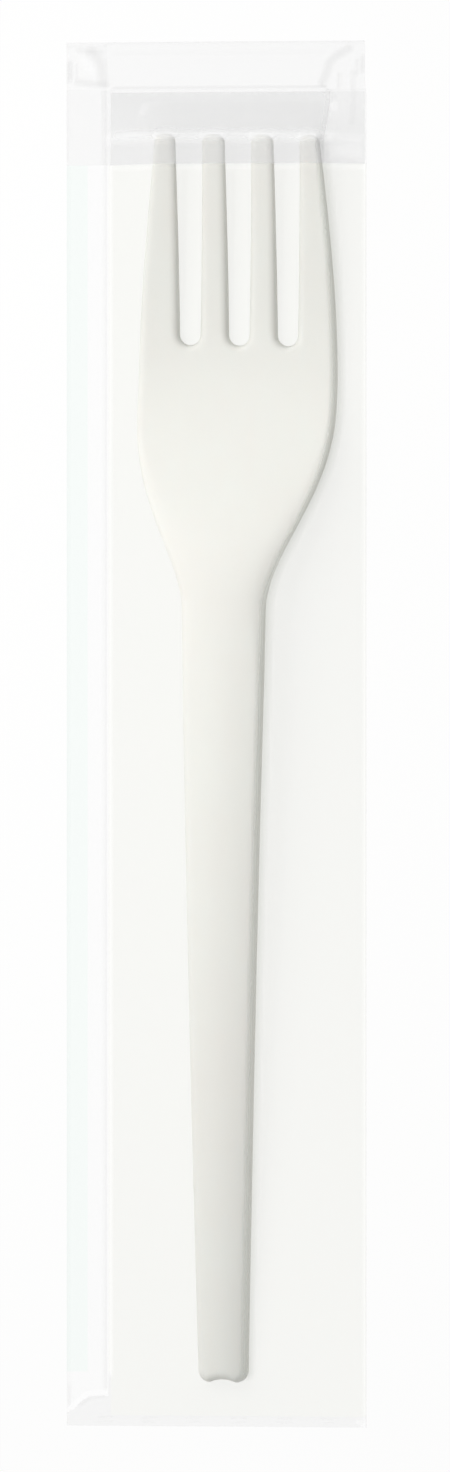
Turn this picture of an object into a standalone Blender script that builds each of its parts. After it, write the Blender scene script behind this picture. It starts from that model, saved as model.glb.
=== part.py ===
# A moulded bioplastic fork lying loose in a flat bag of clear film.
# Lengths are in metres. The table is z = 0 and the bag is centred on the origin,
# with its folded mouth and the tips of the tines towards +Y.

import math

import bmesh
import bpy
import numpy as np

MM = 0.001

# Fork, measured along its own length from the tips of the tines
FORK_LENGTH = 165.0 * MM
TINE_LENGTH = 28.0 * MM
SHOULDER_DISTANCE = 34.5 * MM  # from the tips to the widest place
NECK_DISTANCE = 63.0 * MM  # from the tips to the end of the head's taper
TINE_COUNT = 4
TINE_PITCH = 6.6 * MM
SLOT_WIDTH = 3.3 * MM
SLOT_FLARE = 0.7 * MM  # how much wider a slot is at the tips than at its root
TIPS_WIDTH = 21.7 * MM
HEAD_WIDTH = 26.3 * MM
NECK_WIDTH = 10.8 * MM
HANDLE_END_WIDTH = 6.1 * MM
TIP_RADIUS = 1.0 * MM
TIP_ROUNDING = 0.8  # most of a tine's half width that a corner at its tip may take
HANDLE_CORNER_RADIUS = 1.3 * MM
HANDLE_END_HOLLOW = 0.4 * MM
HOLLOW_REACH = 5.2 * MM  # how far from the end the handle's skin follows the hollow
HEAD_TAPER = 1.35  # above 1, the head keeps its width longer before it narrows
WALL_DRAFT = 0.2  # how far the walls lean out on their way down, as a share of their height
EDGE_RADIUS = 0.45 * MM

# Fork seen from the side: tips up, bowl down, neck arched up, handle down again
TIP_RISE = 3.2 * MM  # tips over the bowl
CREST_RISE = 7.4 * MM  # neck over the bowl
CREST_DISTANCE = 59.0 * MM
BOWL_DISTANCE = 32.0 * MM
TIP_SWEEP = 1.6  # above 1, the tines rise mostly towards their tips
HANDLE_SWEEP = 1.5  # above 1, the handle drops mostly towards its end
PROFILE_EASING = 5.0 * MM  # over which the bends of the side view run into each other
HANDLE_THICKNESS = 2.0 * MM
TIP_THICKNESS = 1.4 * MM
BOWL_DISH = 0.6 * MM  # hollow across the head
HANDLE_CROWN = 0.8 * MM  # arch across the handle

# How the fork lies in the bag
FORK_MIDDLE = (2.4 * MM, -3.3 * MM)
FORK_TURN = math.radians(-0.9)
FORK_CLEARANCE = 0.3 * MM  # between the fork and the film around it

# Bag of clear film, folded from one sheet
BAG_WIDTH = 40.7 * MM
BAG_LENGTH = 184.0 * MM
FILM_THICKNESS = 0.2 * MM
SIDE_SEAL_WIDTH = 5.6 * MM  # welded strip along the left edge
END_SEAL_WIDTH = 1.3 * MM  # welded strip across the lower end
MOUTH_SETBACK = 6.5 * MM  # from the top fold down to the lip of the front panel
FLAP_LENGTH = 16.5 * MM  # from the top fold down to the flap's free edge
FLAP_GAP = 0.3 * MM
AIR_GAP = 0.3 * MM  # least space between the two panels inside the pocket

# How finely the shapes are divided
TINE_STEPS = 3
TINE_ROWS = 8
HEAD_ROWS = 12
HANDLE_ROWS = 15
EASING_STEPS = 7
SLOT_STEPS = 5
PANEL_COLUMNS = 19
PANEL_ROWS = 36
FLAP_ROWS = 3
MOUTH_ROWS = 2
FOLD_STEPS = 6
NEAR_STEPS = 9
SETTLE_ROUNDS = 700


def smooth(share):
    share = min(max(share, 0.0), 1.0)
    return share * share * (3 - 2 * share)


def blend(first, second, share):
    return first + (second - first) * share


def half_width(distance):
    # Half the fork's width at a distance from the tips: tines, shoulders, neck, handle
    if distance < SHOULDER_DISTANCE:
        spread = math.sin(0.5 * math.pi * distance / SHOULDER_DISTANCE)
        return 0.5 * blend(TIPS_WIDTH, HEAD_WIDTH, spread)
    if distance < NECK_DISTANCE:
        share = (distance - SHOULDER_DISTANCE) / (NECK_DISTANCE - SHOULDER_DISTANCE)
        return 0.5 * blend(HEAD_WIDTH, NECK_WIDTH, smooth(share**HEAD_TAPER))
    share = (distance - NECK_DISTANCE) / (FORK_LENGTH - NECK_DISTANCE)
    return 0.5 * blend(NECK_WIDTH, HANDLE_END_WIDTH, share)


def thickness(distance):
    return blend(TIP_THICKNESS, HANDLE_THICKNESS, smooth(distance / TINE_LENGTH))


def lean(distance, side):
    # How much further out the walls stand at the lower surface than at the upper one
    return WALL_DRAFT * thickness(distance) if side < 0 else 0.0


def outer_half(distance, side):
    return half_width(distance) + lean(distance, side)


def slot_half(distance, side):
    flare = SLOT_FLARE * (1 - distance / TINE_LENGTH)
    return 0.5 * (SLOT_WIDTH + flare) - lean(distance, side)


def crown(distance):
    # Height of the section's middle over its edges, below zero in the dished head
    share = (distance - TINE_LENGTH) / (NECK_DISTANCE - TINE_LENGTH)
    return blend(-BOWL_DISH, HANDLE_CROWN, smooth(share))


def sharp_rise(distance):
    # Height of the section's edges, half way through the wall, before its bends are eased
    lowest = FILM_THICKNESS + FORK_CLEARANCE + 0.5 * HANDLE_THICKNESS
    bowl = lowest + BOWL_DISH
    if distance < BOWL_DISTANCE:
        return bowl + TIP_RISE * (1 - distance / BOWL_DISTANCE) ** TIP_SWEEP
    crest = bowl + CREST_RISE
    if distance < CREST_DISTANCE:
        share = (distance - BOWL_DISTANCE) / (CREST_DISTANCE - BOWL_DISTANCE)
        return blend(bowl, crest, smooth(share))
    share = (distance - CREST_DISTANCE) / (FORK_LENGTH - CREST_DISTANCE)
    return blend(crest, lowest, share**HANDLE_SWEEP)


def rise(distance):
    # The eased height is an average over nearby places, which count less with their distance
    total, weights = 0.0, 0.0
    for step in range(EASING_STEPS):
        place = 2 * (step + 1) / (EASING_STEPS + 1) - 1
        weight = 1 + math.cos(math.pi * place)
        total += weight * sharp_rise(distance + place * PROFILE_EASING)
        weights += weight
    return total / weights


def middle_height(x, distance):
    across = x / half_width(distance)
    return rise(distance) + crown(distance) * (1 - across * across)


def rounded(half, radius, from_end):
    # Half width near an end with round corners
    if from_end >= radius:
        return half
    return half - radius + math.sqrt(max(radius**2 - (radius - from_end) ** 2, 0.0))


def slot_middles():
    return [TINE_PITCH * (i + 1 - 0.5 * TINE_COUNT) for i in range(TINE_COUNT - 1)]


def tine_sides(distance, side):
    # Left and right side of each tine, with the corners at the tips rounded
    half = outer_half(distance, side)
    gap = slot_half(distance, side)
    middles = slot_middles()
    lefts = [-half] + [middle + gap for middle in middles]
    rights = [middle - gap for middle in middles] + [half]
    sides = []
    for left, right in zip(lefts, rights):
        centre = 0.5 * (left + right)
        half_tine = 0.5 * (right - left)
        reach = rounded(half_tine, min(TIP_RADIUS, TIP_ROUNDING * half_tine), distance)
        sides.append((centre - reach, centre + reach))
    return sides


def tine_rows():
    tip = [TIP_RADIUS * (1 - math.cos(math.radians(angle))) for angle in (0, 30, 60, 90)]
    straight = np.linspace(TIP_RADIUS, TINE_LENGTH - 0.5 * SLOT_WIDTH, TINE_ROWS)[1:]
    return tip + list(straight)


def head_columns(side):
    # Places across the head at the slots' roots, as shares of its half width
    root = TINE_LENGTH - 0.5 * SLOT_WIDTH
    half = outer_half(root, side)
    gap = slot_half(root, side)
    edges = [-half]
    for middle in slot_middles():
        edges += [middle - gap, middle + gap]
    edges.append(half)
    shares = [edges[0] / half]
    for index, (left, right) in enumerate(zip(edges, edges[1:])):
        steps = SLOT_STEPS if index % 2 else TINE_STEPS
        shares += [blend(left, right, (k + 1) / steps) / half for k in range(steps)]
    return shares


def head_rows():
    head = np.linspace(TINE_LENGTH + 0.5 * SLOT_WIDTH, NECK_DISTANCE, HEAD_ROWS)
    corner_start = FORK_LENGTH - HANDLE_CORNER_RADIUS
    handle = np.linspace(NECK_DISTANCE, corner_start, HANDLE_ROWS)[1:]
    corner = [
        FORK_LENGTH - HANDLE_CORNER_RADIUS * (1 - math.sin(math.radians(angle)))
        for angle in (30, 60, 90)
    ]
    return list(head) + list(handle) + corner


def fork_point(x, distance, side):
    # A point of the fork's upper (side = 1) or lower (side = -1) surface
    height = middle_height(x, distance) + side * 0.5 * thickness(distance)
    return (x, 0.5 * FORK_LENGTH - distance, height)


def fork_layer(mesh, side):
    # One surface of the fork: four tines, then the head and the handle in one grid
    columns = head_columns(side)
    tines = [[] for _ in range(TINE_COUNT)]
    for distance in tine_rows()[:-1]:
        for tine, (left, right) in zip(tines, tine_sides(distance, side)):
            places = [blend(left, right, k / TINE_STEPS) for k in range(TINE_STEPS + 1)]
            tine.append([mesh.verts.new(fork_point(x, distance, side)) for x in places])

    # The first full row runs along the tines' roots and down round each slot's end
    root = TINE_LENGTH - 0.5 * SLOT_WIDTH
    gap = slot_half(root, side)
    step = TINE_STEPS + SLOT_STEPS
    first_row = []
    for index, share in enumerate(columns):
        in_slot = index % step - TINE_STEPS
        angle = math.pi * in_slot / SLOT_STEPS if in_slot > 0 else 0.0
        depth = gap * math.sin(angle)
        x = share * outer_half(root, side)
        if in_slot > 0:
            x = slot_middles()[index // step] - gap * math.cos(angle)
        first_row.append(mesh.verts.new(fork_point(x, root + depth, side)))

    rows = [first_row]
    for distance in head_rows():
        half = rounded(outer_half(distance, side), HANDLE_CORNER_RADIUS, FORK_LENGTH - distance)
        end_share = max(0.0, 1 - (FORK_LENGTH - distance) / HOLLOW_REACH)
        row = []
        for share in columns:
            hollow = HANDLE_END_HOLLOW * end_share * (1 - share * share)
            row.append(mesh.verts.new(fork_point(share * half, distance - hollow, side)))
        rows.append(row)
    for number, tine in enumerate(tines):
        tine.append(first_row[number * step : number * step + TINE_STEPS + 1])
    return tines, rows


def fill(mesh, first, second):
    # Faces between two rows of as many points
    for a, b, c, d in zip(first, first[1:], second[1:], second):
        mesh.faces.new((a, b, c, d))


def outline_of(tines, rows):
    # The surface's edge as one closed loop of points
    loop = []
    for number, tine in enumerate(tines):
        loop += [row[0] for row in reversed(tine)]
        loop += tine[0][1:-1]
        loop += [row[-1] for row in tine]
        if number < TINE_COUNT - 1:
            start = number * (TINE_STEPS + SLOT_STEPS) + TINE_STEPS
            loop += rows[0][start + 1 : start + SLOT_STEPS]
    loop += [row[-1] for row in rows[1:]]
    loop += rows[-1][-2:0:-1]
    loop += [row[0] for row in reversed(rows[1:])]
    return loop


def make_fork():
    mesh = bmesh.new()
    outlines = []
    for side in (1, -1):
        tines, rows = fork_layer(mesh, side)
        for grid in [*tines, rows]:
            for first, second in zip(grid, grid[1:]):
                fill(mesh, first, second)
        outlines.append(outline_of(tines, rows))
    upper, lower = outlines
    fill(mesh, upper + upper[:1], lower + lower[:1])
    bmesh.ops.recalc_face_normals(mesh, faces=mesh.faces)

    fork = finished("fork", mesh)
    fork.location = (*FORK_MIDDLE, 0.0)
    fork.rotation_euler[2] = FORK_TURN
    edges = fork.modifiers.new("Rounded edges", "BEVEL")
    edges.width = EDGE_RADIUS
    edges.segments = 2
    edges.limit_method = "ANGLE"
    edges.angle_limit = math.radians(50)
    return fork


def fork_top(x, y):
    # Height of the fork's upper surface over a place on the table, slots filled in
    away_x, away_y = x - FORK_MIDDLE[0], y - FORK_MIDDLE[1]
    cosine, sine = math.cos(FORK_TURN), math.sin(FORK_TURN)
    own_x = away_x * cosine + away_y * sine
    distance = 0.5 * FORK_LENGTH - (away_y * cosine - away_x * sine)
    if not 0 <= distance <= FORK_LENGTH or abs(own_x) > half_width(distance):
        return 0.0
    return middle_height(own_x, distance) + 0.5 * thickness(distance)


def film_columns():
    left, right = -0.5 * BAG_WIDTH, 0.5 * BAG_WIDTH
    pocket = np.linspace(left + SIDE_SEAL_WIDTH, right - FILM_THICKNESS, PANEL_COLUMNS)
    return [left, *pocket, right]


def film_rows():
    # Lower edge, seal, flap's free edge, mouth and top fold, each on a row of its own
    bottom, top = -0.5 * BAG_LENGTH, 0.5 * BAG_LENGTH
    flap_edge = top - FLAP_LENGTH
    mouth = top - MOUTH_SETBACK
    panel = list(np.linspace(bottom + END_SEAL_WIDTH, flap_edge, PANEL_ROWS))
    under_flap = list(np.linspace(flap_edge, mouth, FLAP_ROWS + 1)[1:])
    past_mouth = list(np.linspace(mouth, top - fold_radius(), MOUTH_ROWS + 1)[1:])
    return [bottom] + panel + under_flap + past_mouth


def fold_radius():
    # Outer radius of the fold that carries the flap over the front panel
    return 0.5 * (3 * FILM_THICKNESS + FLAP_GAP)


def highest_near(x, y, reach_x, reach_y):
    # Highest place of the fork within one grid cell
    places_x = np.linspace(x - reach_x, x + reach_x, NEAR_STEPS)
    places_y = np.linspace(y - reach_y, y + reach_y, NEAR_STEPS)
    return max(fork_top(px, py) for px in places_x for py in places_y)


def film_heights(xs, ys):
    # Upper side of the front panel: a sheet stretched from its seals over the fork
    flat = 2 * FILM_THICKNESS
    heights = np.full((len(ys), len(xs)), flat)
    least = np.full_like(heights, flat + AIR_GAP)
    reach_x = max(np.diff(xs)[1:-1])
    for j in range(2, len(ys) - 1):
        reach_y = max(ys[j] - ys[j - 1], ys[j + 1] - ys[j])
        for i in range(2, len(xs) - 2):
            held = highest_near(xs[i], ys[j], reach_x, reach_y)
            if held > 0:
                least[j, i] = max(least[j, i], held + FORK_CLEARANCE + FILM_THICKNESS)
    inner = (slice(2, -1), slice(2, -2))
    heights[inner] = least[inner]
    left, right = np.diff(xs)[1:-2], np.diff(xs)[2:-1]
    down, up = np.diff(ys)[1:-1, None], np.diff(ys)[2:, None]
    pull_x, pull_y = 1 / (left * right), 1 / (down * up)
    for _ in range(SETTLE_ROUNDS):
        beside = (heights[2:-1, 1:-3] * right + heights[2:-1, 3:-1] * left) / (left + right)
        along = (heights[1:-2, 2:-2] * up + heights[3:, 2:-2] * down) / (down + up)
        settled = (beside * pull_x + along * pull_y) / (pull_x + pull_y)
        heights[inner] = np.maximum(settled, least[inner])
    return heights


def make_film():
    xs, ys = film_columns(), film_rows()
    tops = film_heights(xs, ys)
    mesh = bmesh.new()
    last, inside = len(xs) - 1, range(1, len(xs) - 1)
    mouth = len(ys) - 1 - MOUTH_ROWS

    def row_at(j, height):
        return [mesh.verts.new((x, ys[j], height)) for x in xs]

    under = [row_at(j, 0.0) for j in range(len(ys))]
    front = [
        [mesh.verts.new((x, ys[j], tops[j][i])) for i, x in enumerate(xs)]
        for j in range(mouth + 1)
    ]

    # Inside of the pocket: its floor, and its roof, which share their points at the seals
    floor, roof = [], []
    for j in range(1, mouth + 1):
        floor_row = [mesh.verts.new((xs[i], ys[j], FILM_THICKNESS)) for i in inside]
        roof_row = []
        for place, i in enumerate(inside):
            sealed = j == 1 or i in (1, last - 1)
            height = tops[j][i] - FILM_THICKNESS
            fresh = None if sealed else mesh.verts.new((xs[i], ys[j], height))
            roof_row.append(fresh or floor_row[place])
        floor.append(floor_row)
        roof.append(roof_row)
    ends = [mesh.verts.new((xs[i], ys[mouth], FILM_THICKNESS)) for i in (0, last)]
    lip = [ends[0], *roof[-1], ends[1]]
    back = [[ends[0], *floor[-1], ends[1]]]
    back += [row_at(j, FILM_THICKNESS) for j in range(mouth + 1, len(ys))]

    # Past the mouth the back panel folds over and comes down in front as the flap
    outer, inner = under[mouth:], list(back)
    radius = fold_radius()
    for step in range(1, FOLD_STEPS):
        angle = math.pi * step / FOLD_STEPS
        for chain, reach in ((outer, radius), (inner, radius - FILM_THICKNESS)):
            y = ys[-1] + reach * math.sin(angle)
            height = radius - reach * math.cos(angle)
            chain.append([mesh.verts.new((x, y, height)) for x in xs])
    for j in range(len(ys) - 1, mouth - FLAP_ROWS - 1, -1):
        for chain, lift in ((outer, FILM_THICKNESS), (inner, 0.0)):
            level = tops[j] + FLAP_GAP + lift
            chain.append([mesh.verts.new((x, ys[j], z)) for x, z in zip(xs, level)])

    for grid in (under[: mouth + 1], front, floor, outer, inner):
        for first, second in zip(grid, grid[1:]):
            fill(mesh, first, second)
    for first, second in zip(roof, roof[1:]):
        fill(mesh, first, second)
    fill(mesh, under[0], front[0])
    fill(mesh, front[-1], lip)
    fill(mesh, outer[-1], inner[-1])
    for side, end in ((0, ends[0]), (last, ends[1])):
        fill(mesh, [row[side] for row in under[:mouth]], [row[side] for row in front[:mouth]])
        low, high = under[mouth - 1][side], front[mouth - 1][side]
        mesh.faces.new((low, under[mouth][side], end, front[mouth][side], high))
        fill(mesh, [row[side] for row in outer], [row[side] for row in inner])
    bmesh.ops.recalc_face_normals(mesh, faces=mesh.faces)
    return finished("film_bag", mesh)


def finished(name, mesh):
    data = bpy.data.meshes.new(name)
    mesh.to_mesh(data)
    mesh.free()
    data.shade_smooth()
    data.set_sharp_from_angle(angle=math.radians(35))
    thing = bpy.data.objects.new(name, data)
    bpy.context.scene.collection.objects.link(thing)
    return thing


def coat(thing, name, colour, roughness, clear=0.0):
    material = bpy.data.materials.new(name)
    material.use_nodes = True
    shader = material.node_tree.nodes["Principled BSDF"]
    shader.inputs["Base Color"].default_value = (*colour, 1.0)
    shader.inputs["Roughness"].default_value = roughness
    shader.inputs["Metallic"].default_value = 0.0
    shader.inputs["Transmission Weight"].default_value = clear
    thing.data.materials.append(material)


def main():
    for thing in list(bpy.data.objects):
        bpy.data.objects.remove(thing, do_unlink=True)
    coat(make_fork(), "Moulded off-white bioplastic", (0.83, 0.82, 0.76), 0.45)
    coat(make_film(), "Clear film", (0.95, 0.96, 0.92), 0.08, clear=1.0)


main()
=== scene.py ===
import math

import bmesh
import bpy
import numpy as np
from mathutils import Matrix, Vector
from mathutils.geometry import delaunay_2d_cdt


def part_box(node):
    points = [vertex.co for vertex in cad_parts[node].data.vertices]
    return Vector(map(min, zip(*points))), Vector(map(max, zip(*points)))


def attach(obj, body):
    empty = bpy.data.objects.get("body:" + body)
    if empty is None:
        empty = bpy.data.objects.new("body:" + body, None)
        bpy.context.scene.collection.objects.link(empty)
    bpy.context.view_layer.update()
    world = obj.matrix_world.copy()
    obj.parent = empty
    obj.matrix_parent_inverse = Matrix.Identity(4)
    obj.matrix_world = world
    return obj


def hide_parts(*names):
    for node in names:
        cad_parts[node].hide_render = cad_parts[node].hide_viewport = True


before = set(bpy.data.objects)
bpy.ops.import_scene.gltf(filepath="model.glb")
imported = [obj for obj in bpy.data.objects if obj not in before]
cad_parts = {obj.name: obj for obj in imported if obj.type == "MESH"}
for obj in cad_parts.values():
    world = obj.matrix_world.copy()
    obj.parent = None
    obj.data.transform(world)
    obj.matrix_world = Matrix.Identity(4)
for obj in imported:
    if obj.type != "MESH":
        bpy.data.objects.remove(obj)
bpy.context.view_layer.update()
mm = 0.001
scene = bpy.context.scene


# Small helpers

def linear(hexColour):
    # sRGB hex to the linear colour that Blender's sockets take
    parts = [int(hexColour[i : i + 2], 16) / 255 for i in (1, 3, 5)]
    curved = [p / 12.92 if p <= 0.04045 else ((p + 0.055) / 1.055) ** 2.4 for p in parts]
    return (*curved, 1.0)


def addNode(tree, kind, settings=None, inputs=None):
    # One node with its settings; an input is a value or another node's output
    node = tree.nodes.new(kind)
    for name, value in (settings or {}).items():
        setattr(node, name, value)
    for socket, value in (inputs or {}).items():
        if isinstance(value, bpy.types.NodeSocket):
            tree.links.new(value, node.inputs[socket])
        else:
            node.inputs[socket].default_value = value
    return node


def blend(first, second, share):
    return first + (second - first) * share


def smooth(share):
    # From 0 to 1 without a corner at either end
    share = np.clip(share, 0.0, 1.0)
    return share * share * (3 - 2 * share)


def quarterTurn(steps):
    return np.radians(np.linspace(0, 90, steps))


def meshPiece(name, points, faces, materials, faceSlots=None):
    # A smooth-shaded mesh object at the origin with its materials
    data = bpy.data.meshes.new(name)
    data.from_pydata([tuple(p) for p in points], [], faces)
    for material in materials:
        data.materials.append(material)
    if faceSlots is not None:
        data.polygons.foreach_set("material_index", faceSlots)
    data.shade_smooth()
    piece = bpy.data.objects.new(name, data)
    scene.collection.objects.link(piece)
    return piece


# Camera, floor and light

stageSettings = {
    "tilt": 11.0,  # degrees the camera leans to the pack's right
    "aim": (1.08 * mm, -0.33 * mm, 0.0),
    "distance": 2.4,
    "pictureHeight": 195.4 * mm,  # of the table, over the whole height of the frame
    "sensor": 24.0,
    "clipEnd": 20.0,
    "skyDim": 0.30,  # low on the right, away from the lamp
    "skyBright": 0.70,
    "lampPlace": (-0.09, 0.065, 0.25),
    "lampSize": 0.2,
    "lampPower": 0.46,
    "stripPlace": (-0.12, 0.62, 0.18),  # low, so that only folds and slopes mirror it
    "stripSize": (0.5, 0.12),
    "stripPower": 0.14,
    "floorSize": 12.0,
    "floorColour": "#F6F6F4",
    "floorGlow": 0.91,  # share of the seen floor that is plain white and takes no shadow
}


def makeCamera(s):
    data = bpy.data.cameras.new("camera")
    data.sensor_width = s["sensor"]  # along the frame's longer side, its height
    data.lens = s["sensor"] * s["distance"] / s["pictureHeight"]
    data.clip_end = s["clipEnd"]
    camera = bpy.data.objects.new("camera", data)
    lean = math.radians(s["tilt"])
    away = (math.sin(lean), 0.0, math.cos(lean))
    camera.location = [a + s["distance"] * w for a, w in zip(s["aim"], away)]
    camera.rotation_euler = (0.0, lean, 0.0)
    scene.collection.objects.link(camera)
    scene.camera = camera


def seenDirectly(tree):
    # 1 for rays from the camera, a mirror or clear film, 0 for the light that surfaces get
    path = addNode(tree, "ShaderNodeLightPath")
    sharp = addNode(
        tree, "ShaderNodeMath", {"operation": "MAXIMUM"},
        {0: path.outputs["Is Camera Ray"], 1: path.outputs["Is Glossy Ray"]},
    )
    return addNode(
        tree, "ShaderNodeMath", {"operation": "MAXIMUM"},
        {0: sharp.outputs[0], 1: path.outputs["Is Transmission Ray"]},
    ).outputs[0]


def makeSky(s):
    # Soft light from all round, brighter on the lamp's side; white wherever it is looked at
    world = bpy.data.worlds.new("soft studio sky")
    scene.world = world
    world.use_nodes = True
    tree = world.node_tree
    tree.nodes.clear()
    toLamp = Vector((s["lampPlace"][0], s["lampPlace"][1], 0.0)).normalized()
    direction = addNode(tree, "ShaderNodeTexCoord").outputs["Generated"]
    towards = addNode(
        tree, "ShaderNodeVectorMath", {"operation": "DOT_PRODUCT"}, {0: direction, 1: toLamp}
    )
    light = addNode(
        tree, "ShaderNodeMapRange", None,
        {
            "Value": towards.outputs["Value"], "From Min": -1.0, "From Max": 1.0,
            "To Min": s["skyDim"], "To Max": s["skyBright"],
        },
    )
    strength = addNode(
        tree, "ShaderNodeMix", None, {"Factor": seenDirectly(tree), 2: light.outputs[0], 3: 1.0}
    )
    sky = addNode(
        tree, "ShaderNodeBackground", None,
        {"Color": (1.0, 1.0, 1.0, 1.0), "Strength": strength.outputs[0]},
    )
    addNode(tree, "ShaderNodeOutputWorld", None, {"Surface": sky.outputs[0]})


def makeLamp(name, place, size, power, mirrored):
    # A lamp either lights the surfaces or is only mirrored in them
    data = bpy.data.lights.new(name, "AREA")
    data.shape = "RECTANGLE"
    data.size, data.size_y = size
    data.energy = power
    lamp = bpy.data.objects.new(name, data)
    lamp.location = place
    lamp.rotation_euler = (-lamp.location).to_track_quat("-Z", "Y").to_euler()
    lamp.visible_camera = False
    lamp.visible_glossy = mirrored
    lamp.visible_diffuse = not mirrored
    scene.collection.objects.link(lamp)


def makeLamps(s):
    # A soft box over the head end lights the pack, and a low strip draws the film's folds
    makeLamp("soft box", s["lampPlace"], (s["lampSize"], s["lampSize"]), s["lampPower"], False)
    makeLamp("strip light", s["stripPlace"], s["stripSize"], s["stripPower"], True)


def makeFloor(s):
    # White to the camera, with the pack's soft shadow kept in its matt share
    material = bpy.data.materials.new("matt white paper")
    material.use_nodes = True
    tree = material.node_tree
    tree.nodes.clear()
    paper = addNode(tree, "ShaderNodeBsdfDiffuse", None, {"Color": linear(s["floorColour"])})
    share = 1 - s["floorGlow"]
    shaded = [v * share for v in linear(s["floorColour"])[:3]] + [1.0]
    matt = addNode(tree, "ShaderNodeBsdfDiffuse", None, {"Color": shaded})
    glow = addNode(tree, "ShaderNodeEmission", None, {"Strength": s["floorGlow"]})
    white = addNode(tree, "ShaderNodeAddShader", None, {0: matt.outputs[0], 1: glow.outputs[0]})
    mix = addNode(
        tree, "ShaderNodeMixShader", None,
        {0: seenDirectly(tree), 1: paper.outputs[0], 2: white.outputs[0]},
    )
    addNode(tree, "ShaderNodeOutputMaterial", None, {"Surface": mix.outputs[0]})
    half = 0.5 * s["floorSize"]
    corners = [(-half, -half, 0), (half, -half, 0), (half, half, 0), (-half, half, 0)]
    floor = meshPiece("floor", corners, [(0, 1, 2, 3)], [material])


scene.view_settings.view_transform = "Standard"
makeCamera(stageSettings)
makeSky(stageSettings)
makeLamps(stageSettings)
makeFloor(stageSettings)
print("camera, floor and light are set")


# Fork. Distances run along the fork from the tips of its tines

forkSettings = {
    "length": 165.0 * mm,
    "tineLength": 28.0 * mm,
    "shoulder": 34.5 * mm,
    "neck": 63.0 * mm,
    "tineCount": 4,
    "tinePitch": 6.6 * mm,
    "slotWidth": 3.3 * mm,
    "slotFlare": 0.7 * mm,
    "tipsWidth": 21.7 * mm,
    "headWidth": 26.3 * mm,
    "neckWidth": 10.8 * mm,
    "endWidth": 6.1 * mm,
    "tipRadius": 1.0 * mm,
    "roundest": 0.4,  # most of a tine's width that a corner of its tip rounds
    "cornerRadius": 1.3 * mm,
    "endHollow": 0.4 * mm,
    "tipRise": 3.2 * mm,
    "tipCurve": 1.6,  # above 1, the tines rise slowly at first
    "crestRise": 7.4 * mm,
    "handleCurve": 1.5,  # above 1, the handle falls slowly at first
    "crest": 59.0 * mm,
    "bowl": 32.0 * mm,
    "lowest": 1.5 * mm,  # half way through the wall where the fork lies lowest
    "tipThickness": 1.4 * mm,
    "handleThickness": 2.0 * mm,
    "dish": 0.6 * mm,
    "crown": 0.8 * mm,
    "easing": 5.0 * mm,  # over which the profile's bends are eased into each other
    "easingSteps": 7,
    "middle": (2.4 * mm, -3.3 * mm),
    "turn": -0.9,  # degrees
    "filletShare": 0.32,  # depth of the rounded edges as a share of the wall
    "fillet": 0.8 * mm,
    "neckFillet": 2.7 * mm,  # the edges are softest where the head runs into the handle
    "neckFilletShare": 0.46,
    "neckFilletAt": 56.0 * mm,
    "neckFilletReach": 18.0 * mm,
    "filletSteps": 7,
    "taper": 1.35,  # above 1, the head keeps its width longer before it narrows
    "draft": 0.2,  # how far the walls lean out on their way down, as a share of their height
    "seam": 0.025 * mm,  # how far the mould's parting line stands out
    "seamWidth": 0.12 * mm,
    "edgeStep": 0.5 * mm,  # between points along the slots
    "outerStep": 0.667 * mm,  # and along the outer sides
    "cornerSteps": 9,
    "rootSteps": 17,
    "endSteps": 11,
    "fillStep": 0.9 * mm,
    "fillRows": 0.866,  # spacing of the rows, as a share of the step within a row
    "fillMargin": 0.4,  # from the rounded edge to the lattice, as a share of the step
    "searchParts": 8,  # the outline is searched in parts, which takes less memory
    "ejectorMarks": (38.0 * mm, 74.0 * mm, 112.0 * mm, 152.0 * mm),
    "ejectorRadius": 1.6 * mm,
    "ejectorDepth": 0.12 * mm,
    "ejectorSides": 32,
    "ejectorRings": (0.5, 0.9, 1.0, 1.1),  # these and the next three are shares of the radius
    "ejectorClear": 1.2,
    "ejectorRim": 1.05,
    "ejectorSlope": 0.15,
}
fs = forkSettings


def halfWidth(distance):
    spread = np.sin(0.5 * np.pi * np.clip(distance / fs["shoulder"], 0, 1))
    tines = blend(fs["tipsWidth"], fs["headWidth"], spread)
    share = np.clip((distance - fs["shoulder"]) / (fs["neck"] - fs["shoulder"]), 0, 1)
    head = blend(fs["headWidth"], fs["neckWidth"], smooth(share ** fs["taper"]))
    past = (distance - fs["neck"]) / (fs["length"] - fs["neck"])
    handle = blend(fs["neckWidth"], fs["endWidth"], past)
    wide = np.where(distance < fs["shoulder"], tines, np.where(distance < fs["neck"], head, handle))
    return 0.5 * wide


def wall(distance):
    return blend(fs["tipThickness"], fs["handleThickness"], smooth(distance / fs["tineLength"]))


def crossArch(distance):
    share = (distance - fs["tineLength"]) / (fs["neck"] - fs["tineLength"])
    return blend(-fs["dish"], fs["crown"], smooth(share))


def sharpRise(distance):
    bowl = fs["lowest"] + fs["dish"]
    toTips = np.clip(1 - distance / fs["bowl"], 0, None)
    tips = bowl + fs["tipRise"] * toTips ** fs["tipCurve"]
    crest = bowl + fs["crestRise"]
    arch = blend(bowl, crest, smooth((distance - fs["bowl"]) / (fs["crest"] - fs["bowl"])))
    share = np.clip((distance - fs["crest"]) / (fs["length"] - fs["crest"]), 0, None)
    handle = blend(crest, fs["lowest"], share ** fs["handleCurve"])
    return np.where(distance < fs["bowl"], tips, np.where(distance < fs["crest"], arch, handle))


def rise(distance):
    # Height of the fork's middle, with no bend sharp enough to draw a line in the shading
    places = np.linspace(-1, 1, fs["easingSteps"] + 2)[1:-1]
    weights = 1 + np.cos(np.pi * places)
    eased = sum(w * sharpRise(distance + p * fs["easing"]) for p, w in zip(places, weights))
    return eased / weights.sum()


def middleHeight(x, distance):
    across = x / halfWidth(distance)
    return rise(distance) + crossArch(distance) * (1 - across * across)


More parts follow.
